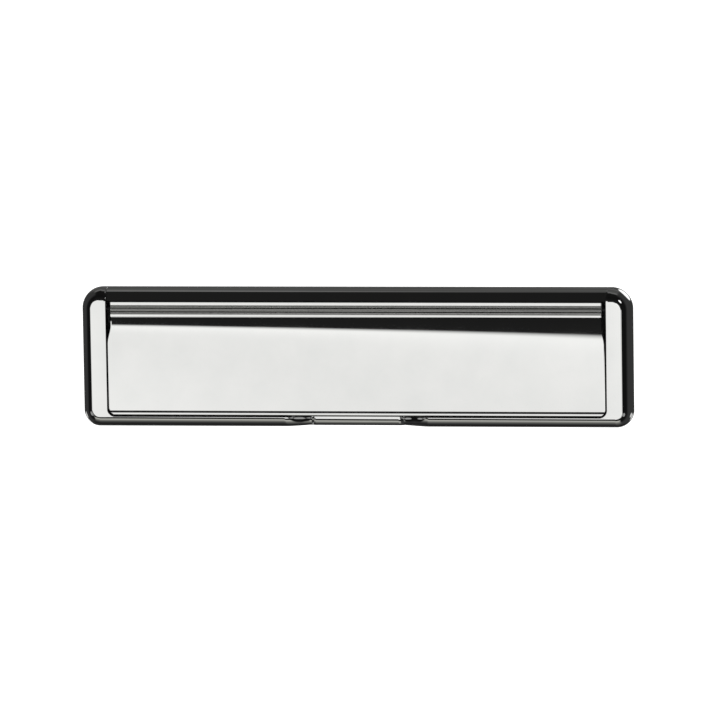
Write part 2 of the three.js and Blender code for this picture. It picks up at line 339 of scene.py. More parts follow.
def recess_profile(d, w, dip):
    """The lower rail at share w of the finger recess, set back by dip in a scoop."""
    base = frame_profiles(d)
    if w <= 0 and dip <= 0:
        return base
    n = len(base) - N_BAY - len(FILLET)
    out = []
    # forward from the rim, round a broad edge, and up the face of the rail
    path = [(RECESS_LOW, d["rim"]), (RECESS_LOW, -3.0)]
    wide, back, power, steps = 4.6, -4.2, 1.08, 18
    for i in range(steps + 1):
        u = math.pi / 2 * (1 - i / steps)
        path.append((RECESS_LOW - wide + wide * math.sin(u) ** power,
                     back + (RECESS_Y - back) * math.cos(u) ** power))
    path.append((d["bay_b"] + 0.3, RECESS_Y))
    length = [0.0]
    for a, b in zip(path, path[1:]):
        length.append(length[-1] + math.dist(a, b))
    # as many points along that path as the border has rings
    for i in range(n):
        s = length[-1] * i / (n - 1)
        k = max(j for j in range(len(length) - 1) if length[j] <= s + 1e-9)
        f = (s - length[k]) / (length[k + 1] - length[k])
        z = path[k][0] + (path[k + 1][0] - path[k][0]) * f
        y = path[k][1] + (path[k + 1][1] - path[k][1]) * f
        (X, Zt, Zb, *radii), yb = base[i]
        y += dip * smooth(-2.5, -6.0, y)
        out.append(((X, Zt, Zb + (z - Zb) * w, *radii), yb + (y - yb) * w))
    for i, (_, back) in enumerate(FILLET):
        ring, yb = base[n + i]
        out.append((ring, yb + (RECESS_Y + dip + back * EDGE - yb) * w))
    return out + frame_inside(d)


def smooth(a, b, x):
    """0 at a, 1 at b, eased between them."""
    t = min(1.0, max(0.0, (x - a) / (b - a)))
    return t * t * (3 - 2 * t)


def fade_recess(x):
    """Share of the finger recess at x mm from the middle, and the depth of the scoop there."""
    w = 1 - 0.5 * smooth(24.0, 40.5, x) - 0.5 * min(1.0, max(0.0, (x - 25.0) / 14.5))
    return w, SCOOP * smooth(24.3, 26.2, x) * (1 - smooth(30.0, 41.0, x))


def cut(obj, cutter):
    """Take the closed mesh cutter out of obj, before its other modifiers."""
    bmesh.ops.recalc_face_normals(cutter, faces=cutter.faces)
    mesh = bpy.data.meshes.new("cutter")
    cutter.to_mesh(mesh)
    cutter.free()
    tool = bpy.data.objects.new("cutter", mesh)
    bpy.context.scene.collection.objects.link(tool)
    mod = obj.modifiers.new("cut", "BOOLEAN")
    mod.operation = "DIFFERENCE"
    mod.solver = "EXACT"
    mod.object = tool
    obj.modifiers.move(len(obj.modifiers) - 1, 0)
    with bpy.context.temp_override(object=obj, active_object=obj):
        bpy.ops.object.modifier_apply(modifier="cut")
    bpy.data.objects.remove(tool)
    bpy.data.meshes.remove(mesh)


def build_frame(d, place, name, body, node, recess):
    """One skin: from the middle of the top rail round one end to the middle below, then mirrored."""
    full = frame_profiles(d)
    rail = rail_profile(d)
    lip = frame_profiles(d, EDGE)
    bx = d["bay_x"]
    half = []

    def straight(profile, x, top):
        """The profile across the top or bottom rail at x."""
        row = []
        for ring, y in profile:
            X, Zt, Zb, r = ring[:4]
            r = r if top else low_radius(ring)
            row.append((min(x, X - r) if X <= bx + 1 else x, y, Zt if top else -Zb))
        return row

    top_rows = 12
    for i in range(top_rows + 1):
        half.append(straight(rail, bx * i / top_rows, True))
    n_side = len(side_points(full[0][0], bx))

    def side_row(k, profile, shift=0.0):
        """The profile at the k-th of side_points, its border and panel moved along by shift."""
        row = []
        for ring, y in profile:
            x, z = side_points(ring, bx)[k]
            row.append((x + shift if ring[0] > bx + 0.5 else x, y, z))
        return row

    # the end block stands proud of the top rail, with a small rounded edge
    half.append(side_row(0, lip))
    half.append(side_row(0, frame_profiles(d, 0.3 * EDGE), 0.3 * EDGE))
    half.append(side_row(0, full, EDGE))
    for k in range(1, n_side):
        half.append(side_row(k, full))
    low_rows = 8
    for i in range(1, low_rows + 1):
        half.append(straight(full, bx - (bx - RECESS_END) * i / low_rows, False))
    for i in range(1, RECESS_ROWS + 1):
        x = RECESS_END - RECESS_END * i / RECESS_ROWS
        w, dip = fade_recess(x) if recess else (0.0, 0.0)
        half.append(straight(recess_profile(d, w, dip), x, False))
    left = [[(-x, y, z) for x, y, z in row] for row in half[1:-1]][::-1]
    rows = [[place(*p) for p in row] for row in half + left]
    bm = bmesh.new()
    grid(bm, rows, loop_rows=True)
    # plating stops at the edge of the bay; inside and behind, the body gets the black material, partly bare
    # black moulding and partly painted shade on the bay's wall and floor
    for i, face in enumerate(bm.faces):
        face.material_index = 1 if i % len(full) >= len(full) - N_BAY - 1 else 0
    obj = finish_mesh(bm, name, CHROME, None, ())
    obj.data.materials.append(BLACK_AND_PAINTED_SHADE)
    # bush pockets and, on the inner frame, the bolt seats
    r = d["bush"][0] + 0.15
    for side in (-1, 1):
        pocket = bmesh.new()
        lathe(pocket, [(r, side * (bx - 1)), (r, side * (d["bush"][2] + 0.2))], "x", d["hinge"], place, 48)
        cut(obj, pocket)
        if not recess:
            seat = bmesh.new()
            lathe(seat, [(5.2, -11.5), (4.75, -10.75), (2.75, -8.4), (2.75, 5.0)],
                  "y", (side * BOLT_X, 0.0), place, 64)
            cut(obj, seat)
    obj.data.shade_smooth()
    obj.data.set_sharp_from_angle(angle=math.radians(32))
    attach(obj, body)
    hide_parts(node)


# ---------------------------------------------------------------- flap
def flap_section(d):
    """Closed section in Y and Z: barrel, cove, bowed face, groove, bead, back.

    It comes with the numbers of the faces that get a dark material as painted shade: over the barrel and in
    the groove.
    """
    hy, hz = d["hinge"]
    R, bore = d["barrel"]
    face, bottom, t = d["face"], d["bottom"], d["t"]
    k = (hz - bottom) / (OUT["hinge"][1] - OUT["bottom"])  # height as a share of the outer flap's
    m = R / OUT["barrel"][0]                               # and the same for the barrel
    pts = []

    def arc(cy, cz, r, a, b, n):
        """n steps round (cy, cz) from a to b degrees, where 0 points away from the viewer."""
        for i in range(n + 1):
            g = math.radians(a + (b - a) * i / n)
            pts.append((cy + r * math.cos(g), cz + r * math.sin(g)))

    # barrel: smooth over the top, with two plain lands and three reeded bands down its front
    arc(hy, hz, R, 52, 112, 18)
    # the faces over the top of the barrel get the dark material: painted shade, as under the top rail
    painted_shade_faces = list(range(18))
    f = face + 0.35

    def reeds(z_from, z_to, y_from, y_to, count):
        """Small rounded ridges, one below the other."""
        steps = count * 6
        for i in range(steps + 1):
            u = i / steps
            local = (u * count) % 1.0 if i < steps else 0.0
            z = z_from + (z_to - z_from) * u
            y = y_from + (y_to - y_from) * u - 0.11 * math.sin(math.pi * local) * k
            pts.append((y, hz + z * m))

    pts.extend([(f + 0.95, hz + 4.12 * m), (f + 0.8, hz + 4.02 * m), (f + 0.8, hz + 2.52 * m),
                (f + 0.95, hz + 2.42 * m)])
    reeds(2.36, 1.12, f + 0.8, f + 0.6, 3)
    reeds(0.62, -0.85, f + 0.3, f + 0.2, 3)
    reeds(-1.4, -2.62, f - 0.05, f + 0.05, 3)
    pts.extend([(f + 0.12, hz - 2.72 * m), (f, hz - 2.8 * m), (f, hz - 3.92 * m),
                (f + 0.1, hz - 4.02 * m), (f + 0.85, hz - 4.2 * m)])
    # cove below the barrel, flattening into a slightly bowed face
    top = hz - R
    low = bottom + 2.75 * (0.75 + 0.25 * k)
    n = 60
    face_pts = []
    for i in range(n + 1):
        z = top + (low - top) * (i / n) ** 1.3
        y = face - 0.1 + 1.69 * k * math.exp(-(top - z) / (6.1 * k)) + 0.19 * ((z - 2) / 34) ** 2
        face_pts.append((y, z))
    pts += face_pts
    yb = face_pts[-1][0]
    # groove and bead along the lower edge
    arc(yb + 0.12, low, 0.12, 180, 240, 3)
    # the faces in the groove get the dark material: a painted shadow
    painted_shade_faces += range(len(pts) - 1, len(pts) + 2)
    pts += [(yb + 0.75, low - 0.5), (yb + 0.75, low - 0.66)]
    arc(yb + 0.3, low - 1.28, 0.16, 110, 180, 4)
    arc(yb + 0.74, bottom + 0.6, 0.6, 180, 262, 8)
    arc(yb + t - 0.45, bottom + 0.45, 0.45, 270, 360, 4)
    back = [(y + t, z) for y, z in face_pts[::-1] if z < hz - R - 1.2 and z > bottom + 1.6]
    pts += back
    arc(hy, hz, R, 278, 288, 3)
    arc(hy, hz, bore, 288, 52, 36)
    return pts, painted_shade_faces


def build_flap(d, place, name, body, node):
    """The flap and its barrel in one section, with three bearings in the barrel for the rod."""
    bm = bmesh.new()
    fx, corner = d["flap_x"], d["corner"]
    section, painted_shade_faces = flap_section(d)
    inner, count = fx - 5.5, 22
    xs = [-inner + 2 * inner * i / count for i in range(count + 1)]
    xs = [-fx, -fx + 0.7] + xs + [fx - 0.7, fx]
    hy, hz = d["hinge"]

    def trim(z):
        """How far the flap's end is cut back at z: beside the barrel, and round the lower corner."""
        neck = d["neck"] * smooth(hz - 19, hz - 9, z)
        low = max(0.0, min(corner, d["bottom"] + corner - z))
        return neck + corner - math.sqrt(corner ** 2 - low ** 2)

    prism(bm, section, xs, place, round_end=EDGE, trim=trim, painted_shade_faces=painted_shade_faces)
    bore, hole = d["barrel"][1] + 0.1, d["rod"] + 0.3
    k = d["knuckle"]
    for x0, x1 in ((-k, -k + 5), (-2.5, 2.5), (k - 5, k)):
        lathe(bm, [(bore, x0), (hole, x0), (hole, x1), (bore, x1)], "x", (hy, hz), place, 40, closed=True)
    obj = finish_mesh(bm, name, CHROME, body, [node], sharp=34)
    # the second material paints shade over the top of the barrel and in the groove
    obj.data.materials.append(BLACK_AND_PAINTED_SHADE)


# ---------------------------------------------------------------- materials
def new_material(name):
    """A node material, with its nodes, its links and its shader."""
    mat = bpy.data.materials.new(name)
    mat.use_nodes = True
    nodes = mat.node_tree.nodes
    return mat, nodes, mat.node_tree.links, nodes["Principled BSDF"]


def coords(nodes, links, scale):
    """The piece's own coordinates, stretched by scale."""
    tex = nodes.new("ShaderNodeTexCoord")
    mapping = nodes.new("ShaderNodeMapping")
    mapping.inputs["Scale"].default_value = scale
    links.new(tex.outputs["Object"], mapping.inputs["Vector"])
    return mapping.outputs["Vector"]


def noise(nodes, links, vector, scale, detail):
    """Noise from 0 to 1 at vector."""
    n = nodes.new("ShaderNodeTexNoise")
    n.inputs["Scale"].default_value = scale
    n.inputs["Detail"].default_value = detail
    links.new(vector, n.inputs["Vector"])
    return n.outputs["Fac"]


def ramp(nodes, links, fac, stops):
    """Colours or grey levels picked by fac from (position, colour) stops."""
    r = nodes.new("ShaderNodeValToRGB")
    els = r.color_ramp.elements
    while len(els) < len(stops):
        els.new(0.5)
    for e, (p, c) in zip(els, stops):
        e.position = p
        e.color = (c, c, c, 1) if isinstance(c, (int, float)) else (*c, 1)
    links.new(fac, r.inputs["Fac"])
    return r.outputs["Color"]


def bump(nodes, links, bsdf, height, strength, distance):
    """Relief on the shader, where height from 0 to 1 stands for distance in metres."""
    b = nodes.new("ShaderNodeBump")
    b.inputs["Strength"].default_value = strength
    b.inputs["Distance"].default_value = distance
    links.new(height, b.inputs["Height"])
    links.new(b.outputs["Normal"], bsdf.inputs["Normal"])


def surface(name, tints, roughs, metallic, scale, grain, bump_strength, bump_mm):
    """Two tints and two roughnesses mixed by fine grain over broad mottling."""
    mat, nodes, links, bsdf = new_material(name)
    vec = coords(nodes, links, scale)
    fine = noise(nodes, links, vec, grain, 4.0)
    broad = noise(nodes, links, vec, grain / 14, 2.0)
    links.new(ramp(nodes, links, broad, [(0.32, tints[0]), (0.68, tints[1])]), bsdf.inputs["Base Color"])
    links.new(ramp(nodes, links, fine, [(0.3, roughs[0]), (0.7, roughs[1])]), bsdf.inputs["Roughness"])
    bsdf.inputs["Metallic"].default_value = metallic
    bump(nodes, links, bsdf, fine, bump_strength, bump_mm * MM)
    return mat


def chrome_material(name):
    """Bright plating: nearly mirror smooth, with faint polishing haze and a very slight ripple."""
    mat, nodes, links, bsdf = new_material(name)
    vec = coords(nodes, links, (1, 1, 1))
    haze = noise(nodes, links, vec, 55.0, 3.0)
    links.new(ramp(nodes, links, haze, [(0.3, (0.86, 0.865, 0.86)), (0.7, (0.9, 0.9, 0.895))]),
              bsdf.inputs["Base Color"])
    links.new(ramp(nodes, links, haze, [(0.35, 0.022), (0.7, 0.04)]), bsdf.inputs["Roughness"])
    bsdf.inputs["Metallic"].default_value = 1.0
    ripple = noise(nodes, links, coords(nodes, links, (0.5, 1, 1)), 22.0, 1.0)
    bump(nodes, links, bsdf, ripple, 0.045, 0.004 * MM)
    return mat


EVEN, DRAWN, ROLLED, UPRIGHT = (1, 1, 1), (0.15, 1, 1), (0.05, 1, 1), (1, 1, 0.1)
CHROME = chrome_material("bright_chrome")
STEEL = surface("drawn_steel", ((0.55, 0.56, 0.57), (0.68, 0.69, 0.7)), (0.22, 0.36), 1.0, DRAWN,
                2500, 0.15, 0.01)
BLUED = surface("blued_steel", ((0.02, 0.02, 0.022), (0.04, 0.04, 0.043)), (0.3, 0.42), 0.8, DRAWN,
                2500, 0.15, 0.01)
ZINC = surface("zinc_plate", ((0.58, 0.6, 0.6), (0.72, 0.73, 0.71)), (0.26, 0.42), 1.0, EVEN,
               1600, 0.2, 0.01)
ALU = surface("mill_aluminium", ((0.62, 0.63, 0.64), (0.74, 0.75, 0.76)), (0.3, 0.45), 1.0, ROLLED,
              2600, 0.3, 0.015)
# black plastic for the sleeve; the same material paints shade in the frame's bay, over the flap's barrel and
# in its groove
BLACK_AND_PAINTED_SHADE = surface("black_moulding_and_painted_shade", ((0.016, 0.016, 0.017), (0.03, 0.03, 0.031)), (0.38, 0.52), 0.0, EVEN,
                1400, 0.35, 0.03)
RUBBER = surface("black_rubber", ((0.012, 0.012, 0.012), (0.028, 0.028, 0.027)), (0.62, 0.8), 0.0, EVEN,
                 1100, 0.4, 0.04)
NYLON = surface("black_nylon", ((0.02, 0.02, 0.021), (0.036, 0.036, 0.037)), (0.3, 0.42), 0.0, EVEN,
                900, 0.15, 0.02)
PILE = surface("brush_pile", ((0.01, 0.01, 0.01), (0.04, 0.04, 0.042)), (0.55, 0.75), 0.0, UPRIGHT,
               3000, 0.3, 0.02)


# ---------------------------------------------------------------- pieces of one plate
def build_buffers(d, place, pre, body, flap_body):
    """Rubber discs on the flap, and the stops that they close on."""
    bx, bz, r, height = d["buffer"]
    front = d["face"] + d["t"] + GAP
    for hand, side in SIDES:
        bm = bmesh.new()
        lathe(bm, [(0.6, front), (r - 0.1, front), (r, front + 0.2), (r, front + height * 0.5),
                   (r - 0.25, front + height * 0.8), (r - 0.8, front + height - 0.05), (0.6, front + height)],
              "y", (side * bx, bz), place, 36)
        finish_mesh(bm, f"{pre}_buffer_{hand}", RUBBER, flap_body, [f"{pre}_flap_buffer_{hand}"])

    bm = bmesh.new()
    rest, foot = front + height + GAP, d["floor"] + GAP
    z0, z1 = bz - r + 0.6, bz + r - 0.6
    section = [(foot, z0), (rest + 0.2, z0), (rest, z0 + 0.2), (rest, z1 - 0.2), (rest + 0.2, z1), (foot, z1)]
    for side in (-1, 1):
        prism(bm, section, [side * bx + x for x in (-5, -4.8, 4.8, 5)], place)
    finish_mesh(bm, f"{pre}_buffer_stops", CHROME, body, ())


def build_hinge(d, place, pre, body):
    """Rod with chamfered ends and a groove near each, and a bush and a spring at each end."""
    r, end = d["rod"], d["bush"][2] - 0.4
    tip = [(r * 0.5, -end), (r * 0.75, -end + 0.05), (r, -end + 0.5), (r, -end + 1.6),
           (r - 0.25, -end + 1.7), (r - 0.25, -end + 2.2), (r, -end + 2.3)]
    shaft = end - 2.3
    prof = tip + [(r, -shaft + 2 * shaft * i / 10) for i in range(1, 10)]
    prof += [(radius, -a) for radius, a in tip[::-1]]
    bm = bmesh.new()
    lathe(bm, prof, "x", d["hinge"], place, 32)
    finish_mesh(bm, f"{pre}_rod", BLUED, body, [f"{pre}_hinge_rod"])

    R, bore, b = d["bush"]
    a = d["bay_x"] + GAP
    prof = [(bore, a + 0.2), (bore + 0.2, a), (R - 0.2, a), (R, a + 0.2), (R, b - 0.5), (R - 0.4, b),
            (bore, b)]
    for hand, side in SIDES:
        bm = bmesh.new()
        lathe(bm, [(q, side * x) for q, x in prof], "x", d["hinge"], place, 40, closed=True)
        finish_mesh(bm, f"{pre}_nylon_bush_{hand}", NYLON, body, [f"{pre}_bush_{hand}"])
        build_spring(d, place, side, f"{pre}_coil_{hand}", f"{pre}_spring_{hand}")


def build_sleeve(d, place, pre, body, rib_ys):
    """Thin tube with a lead-in, a collar and stiffening ribs, and the rubber lip on its mouth."""
    X, Z = d["tube"]
    w = 1.6
    cx, cz = d["collar"]
    m, e = d["mouth"], 40.0
    f = d["floor"] - GAP
    prof = [(X - w, Z - w, 1.4, m + 0.3), (X - w + 0.3, Z - w + 0.3, 1.7, m), (X - 0.4, Z - 0.4, 2.6, m),
            (X, Z, 3.0, m + 0.4), (X, Z, 3.0, f - 0.8), (cx, cz, 3.0, f - 0.8), (cx, cz, 3.0, f),
            (X, Z, 3.0, f)]
    for y in rib_ys:
        prof += [(X, Z, 3.0, y - 0.9), (X + 0.45, Z + 0.45, 3.4, y - 0.5), (X + 0.45, Z + 0.45, 3.4, y + 0.5),
                 (X, Z, 3.0, y + 0.9)]
    prof += [(X, Z, 3.0, e - 0.5), (X - 0.4, Z - 0.4, 2.6, e), (X - w + 0.4, Z - w + 0.4, 1.8, e),
             (X - w, Z - w, 1.4, e - 0.5)]
    bm = bmesh.new()
    band(bm, prof, place, 10)
    finish_mesh(bm, f"{pre}_sleeve_tube", BLACK_AND_PAINTED_SHADE, body, [f"{pre}_sleeve"])

    h = d["seal"]
    y = m - GAP
    prof = [(X - w, Z - w, 1.4, y), (X - w, Z - w, 1.4, y - 0.4 * h),
            (X - w + 0.35, Z - w + 0.35, 1.75, y - 0.9 * h), (X - w / 2, Z - w / 2, 2.2, y - h),
            (X - 0.35, Z - 0.35, 2.65, y - 0.9 * h), (X, Z, 3.0, y - 0.4 * h), (X, Z, 3.0, y)]
    bm = bmesh.new()
    band(bm, prof, place, 10)
    finish_mesh(bm, f"{pre}_mouth_lip", RUBBER, body, [f"{pre}_flap_seal"])


def build_gasket(d, place, pre, body):
    """Flat rubber ring against the door, with slanting edges and a hole for each bolt."""
    X, Z, R = d["X"] - 0.6, d["Z"] - 0.6, d["R"] - 0.6
    gx, gz = d["gasket_hole"]
    prof = [(X, Z, R, -0.35), (X - 0.35, Z - 0.35, R - 0.3, 0.0), (gx + 0.35, gz + 0.35, 3.3, 0.0),
            (gx, gz, 3.0, -0.35), (gx, gz, 3.0, -1.2), (X, Z, R, -1.2)]
    bm = bmesh.new()
    band(bm, prof, place, 16)
    obj = finish_mesh(bm, f"{pre}_door_gasket", RUBBER, None, ())
    for side in (-1, 1):
        hole = bmesh.new()
        lathe(hole, [(d["clear"], -4), (d["clear"], 4)], "y", (side * BOLT_X, 0.0), place, 40)
        cut(obj, hole)
    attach(obj, body)
    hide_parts(f"{pre}_gasket")


def build_spring(d, place, side, name, node):
    """Torsion spring: close coils between two tangs."""
    wire, coil = d["wire"]
    hy, hz = d["hinge"]
    a, b = d["knuckle"] + GAP, d["bay_x"]
    turns, per, sides = 15, 20, 8
    tang = 1.6
    pts = [(a, 0.0), (a + tang * 0.5, 0.0)]
    n = turns * per
    for i in range(n + 1):
        u = i / n
        pts.append((a + tang + (b - a - 2 * tang) * u, 2 * math.pi * turns * u))
    pts += [(b - tang * 0.5, 2 * math.pi * turns), (b, 2 * math.pi * turns)]
    path = [Vector((side * x, hy + coil * math.cos(t), hz + coil * math.sin(t))) for x, t in pts]
    rows = []
    for i, p in enumerate(path):
        t = (path[min(i + 1, len(path) - 1)] - path[max(i - 1, 0)]).normalized()
        radial = Vector((0, p.y - hy, p.z - hz)).normalized()
        u = (radial - t * radial.dot(t)).normalized()
        v = t.cross(u)
        angles = [2 * math.pi * k / sides for k in range(sides)]
        rows.append([place(*(p + (u * math.cos(g) + v * math.sin(g)) * wire)) for g in angles])
    bm = bmesh.new()
    close_ends(bm, grid(bm, rows))
    obj = finish_mesh(bm, name, STEEL, None, [node], sharp=60, weighted=False)
    lo, hi = place(side * a, hy, hz), place(side * b, hy, hz)
    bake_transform(obj)


def build_plate(d, place, pre, recess, rib_ys):
    """All pieces of one plate: recess is for fingers, and the sleeve has a rib at each of rib_ys."""
    body, flap_body = f"{pre}_plate", f"{pre}_flap_body"
    build_frame(d, place, f"{pre}_frame_casting", body, f"{pre}_frame", recess)
    build_flap(d, place, f"{pre}_flap_panel", flap_body, f"{pre}_flap")
    build_buffers(d, place, pre, body, flap_body)
    build_hinge(d, place, pre, body)
    build_sleeve(d, place, pre, body, rib_ys)
    build_gasket(d, place, pre, body)


build_plate(OUT, outer_place, "outer", True, (8.0, 16.0, 24.0, 32.0))
build_plate(INN, inner_place, "inner", False, ())


# ---------------------------------------------------------------- bolt pillars and bolts
for hand, side in SIDES:
    bm = bmesh.new()
    prof = [(5.2, -1.6), (4.6, -1.0), (4.2, -0.2), (4.0, 1.0), (4.0, 36.8), (3.6, 38.0), (3.0, 38.0),
            (2.75, 37.6), (2.75, 0.5), (2.75, -1.7), (0.4, -1.7), (0.4, -1.8), (0.4, -1.9), (5.2, -1.9)]
    lathe(bm, prof, "y", (side * BOLT_X, 0.0), outer_place, 48, closed=True)
    finish_mesh(bm, f"bolt_pillar_{hand}", CHROME, "outer_plate", ())


PITCH = 0.8             # of the bolt's thread
THREAD = (10.0, 43.4)   # where the thread starts and ends
HEAD_Y = -10.6          # face of the bolt's head


def build_bolt(hand, side):
    """Countersunk bolt with a hexagon socket and a rolled thread."""
    seg, shank = 36, 2.4
    turn = [2 * math.pi * k / seg for k in range(seg)]

    def ring(radii, y):
        """One radius for the whole ring, or a list with one for each point."""
        if not isinstance(radii, list):
            radii = [radii] * seg
        return [inner_place(side * BOLT_X + r * math.cos(t), y, r * math.sin(t)) for r, t in zip(radii, turn)]

    sixth = math.pi / 3
    socket = [1.45 * (math.cos(sixth / 2) / math.cos(t % sixth - sixth / 2)) for t in turn]
    # from the floor of the socket over the head, then down its cone to the shank
    rows = [ring(0.3, HEAD_Y + 1.55), ring(socket, HEAD_Y + 1.55), ring(socket, HEAD_Y + 0.12),
            ring([r + 0.12 for r in socket], HEAD_Y), ring(4.2, HEAD_Y), ring(4.45, HEAD_Y + 0.12),
            ring(4.45, HEAD_Y + 0.3), ring(shank, HEAD_Y + 2.3), ring(shank, THREAD[0])]
    y = THREAD[0]
    while y < THREAD[1]:
        depth = 0.36 * min(1.0, (y - THREAD[0]) / 1.6)
        phases = [(y / PITCH + k / seg) % 1.0 for k in range(seg)]
        rows.append(ring([shank - depth * (1 - abs(2 * phase - 1)) for phase in phases], y))
        y += PITCH / 6
    rows += [ring(2.0, 43.8), ring(1.6, 44.4), ring(0.3, 44.4)]
    bm = bmesh.new()
    close_ends(bm, grid(bm, rows))
    finish_mesh(bm, f"bolt_{hand}", ZINC, "inner_plate", [f"fixing_bolt_{hand}"], sharp=40)


# the inner plate faces the other way, so left and right change places
build_bolt("left", 1)
build_bolt("right", -1)


# ---------------------------------------------------------------- brush draught seal
CHANNEL = (14.2, 17.1)      # distance of the channel's open edge and of its back from the middle
BRISTLE = 0.085             # radius of a bristle
PILE_X = 126.0              # half width of the pile


def build_channel(name, side):
    """Rolled channel that grips the pile."""
    lo, hi = CHANNEL
    f, b = 0.05, 3.95
    section = [(f + 0.2, hi), (f, hi - 0.2), (f, lo + 0.3), (f + 0.3, lo), (f + 0.7, lo), (f + 0.9, lo + 0.2),
               (f + 0.9, lo + 1.55), (b - 0.9, lo + 1.55), (b - 0.9, lo + 0.2), (b - 0.7, lo), (b - 0.3, lo),
               (b, lo + 0.3), (b, hi - 0.2), (b - 0.2, hi)]
    bm = bmesh.new()
    prism(bm, [(y, side * z) for y, z in section], [-127.4, -127.2, -60, 0, 60, 127.2, 127.4], inner_place)
    finish_mesh(bm, f"brush_channel_{name}", ALU, "inner_plate", [f"brush_carrier_{name}"])


def build_bristles(name, side):
    """Three rows of single bristles, each a thin three-sided stalk that leans its own way."""
    bm = bmesh.new()
    count = 900
    angles = [math.radians(120 * q) for q in range(3)]
    corners = [(BRISTLE * math.cos(g), BRISTLE * math.sin(g)) for g in angles]
    for i in range(count):
        for row_y in (1.55, 2.0, 2.45):
            x = -PILE_X + 2 * PILE_X * (i + random.uniform(0.1, 0.9)) / count
            y = row_y + random.uniform(-0.12, 0.12)
            tip = 0.45 + random.uniform(0.0, 0.5)
            dx, dy = random.uniform(-0.5, 0.5), random.uniform(-0.3, 0.3)
            rings = []
            for z, k in ((15.2, 0.0), (8.0, 0.35), (tip, 1.0)):
                rings.append([bm.verts.new(inner_place(x + dx * k + u, y + dy * k + v, side * z))
                              for u, v in corners])
            for a, c in zip(rings, rings[1:]):
                for q in range(3):
                    bm.faces.new((a[q], a[(q + 1) % 3], c[(q + 1) % 3], c[q]))
            close_ends(bm, rings)
    finish_mesh(bm, f"brush_bristles_{name}", PILE, "inner_plate", [f"brush_pile_{name}"],
                sharp=80, weighted=False)


random.seed(7)
for name, side in (("top", 1), ("bottom", -1)):
    build_channel(name, side)
    build_bristles(name, side)


# ---------------------------------------------------------------- stage, light and camera
FLOOR_Z = -0.32             # well below the plate, which hangs on a door
floor_mesh = bpy.data.meshes.new("studio_floor")
bm = bmesh.new()
bmesh.ops.create_grid(bm, x_segments=8, y_segments=8, size=6.0)
bm.to_mesh(floor_mesh)
bm.free()
floor = bpy.data.objects.new("studio_floor", floor_mesh)
floor.location = (0, 0, FLOOR_Z)
bpy.context.scene.collection.objects.link(floor)
mat, nodes, links, bsdf = new_material("pale_floor")
bsdf.inputs["Roughness"].default_value = 0.9
bsdf.inputs["Specular IOR Level"].default_value = 0.1
tone = noise(nodes, links, coords(nodes, links, (1, 1, 1)), 3.0, 2.0)
links.new(ramp(nodes, links, tone, [(0.2, 0.93), (0.8, 0.96)]), bsdf.inputs["Base Color"])
bsdf.inputs["Emission Color"].default_value = (1, 1, 1, 1)
bsdf.inputs["Emission Strength"].default_value = 0.35
floor_mesh.materials.append(mat)
floor.visible_glossy = False

world = bpy.data.worlds.new("studio")
bpy.context.scene.world = world
world.use_nodes = True
wn, wl = world.node_tree.nodes, world.node_tree.links
background = wn["Background"]


def op(kind, *values):
    """A maths node on numbers or sockets."""
    node = wn.new("ShaderNodeMath")
    node.operation = kind
    for i, v in enumerate(values):
        if isinstance(v, (int, float)):
            node.inputs[i].default_value = v
        else:
            wl.new(v, node.inputs[i])
    return node.outputs[0]


def blend_colours(factor, a, b):
    """Colour a, a socket, where factor is 0, and b, a socket or a colour, where it is 1."""
    node = wn.new("ShaderNodeMix")
    node.data_type = "RGBA"
    wl.new(factor, node.inputs["Factor"])
    wl.new(a, node.inputs["A"])
    if isinstance(b, tuple):
        node.inputs["B"].default_value = (*b, 1)
    else:
        wl.new(b, node.inputs["B"])
    return node.outputs["Result"]


def step(x, a, b):
    """0 below a and 1 above b, eased between them; falling if a > b."""
    node = wn.new("ShaderNodeMapRange")
    node.interpolation_type = "SMOOTHSTEP"
    wl.new(x, node.inputs["Value"])
    lo, hi = min(a, b), max(a, b)
    node.inputs["From Min"].default_value = lo
    node.inputs["From Max"].default_value = hi
    node.inputs["To Min"].default_value = 0.0 if a < b else 1.0
    node.inputs["To Max"].default_value = 1.0 if a < b else 0.0
    return node.outputs["Result"]


texco = wn.new("ShaderNodeTexCoord")
split = wn.new("ShaderNodeSeparateXYZ")
wl.new(texco.outputs["Generated"], split.inputs[0])
dx, dy, dz = split.outputs
DEG = 180 / math.pi
# What the chrome reflects: bands by height, in degrees from straight ahead of the street side,
# up over the top to 180 behind and down under the floor to -180.
elev = op("MULTIPLY", op("ARCTAN2", dz, op("MULTIPLY", dy, -1.0)), DEG)
sideways = op("MULTIPLY", op("ARCSINE", dx), DEG)
vertical = wn.new("ShaderNodeValToRGB")
vertical.color_ramp.interpolation = "LINEAR"
stops = [(-180, 0.07), (-128, 0.012), (-115, 0.02), (-100, 0.05), (-85, 0.14), (-70, 0.29), (-60, 0.46),
         (-54, 0.55), (-51.5, 0.5), (-49.5, 0.02), (-23, 0.01), (-20.5, 0.93), (-15, 0.95), (-10, 0.88),
         (-5, 0.9), (0, 1.0), (2, 1.0), (4, 0.014), (60, 0.006), (106, 0.008), (110, 0.10), (116, 0.15),
         (122, 0.07), (130, 0.085), (138, 0.06), (146, 0.12), (154, 0.07), (180, 0.07)]
els = vertical.color_ramp.elements
while len(els) < len(stops):
    els.new(0.5)
for el, (p, v) in zip(els, stops):
    el.position = p / 360 + 0.5
    el.color = (v, v, v * (0.93 if -100 < p < -30 else 0.985), 1)
# the bands slant a little from left to right, and end at both sides
slant = op("MAXIMUM", op("MINIMUM", op("ADD", sideways, 7.0), 4.0), -4.0)
level = op("ADD", op("DIVIDE", elev, 360.0), 0.5)
wl.new(op("ADD", level, op("MULTIPLY", slant, 2.7 / 360)), vertical.inputs["Fac"])
banded = op("MULTIPLY", step(sideways, -34.0, -24.0), step(sideways, 24.0, 14.0))


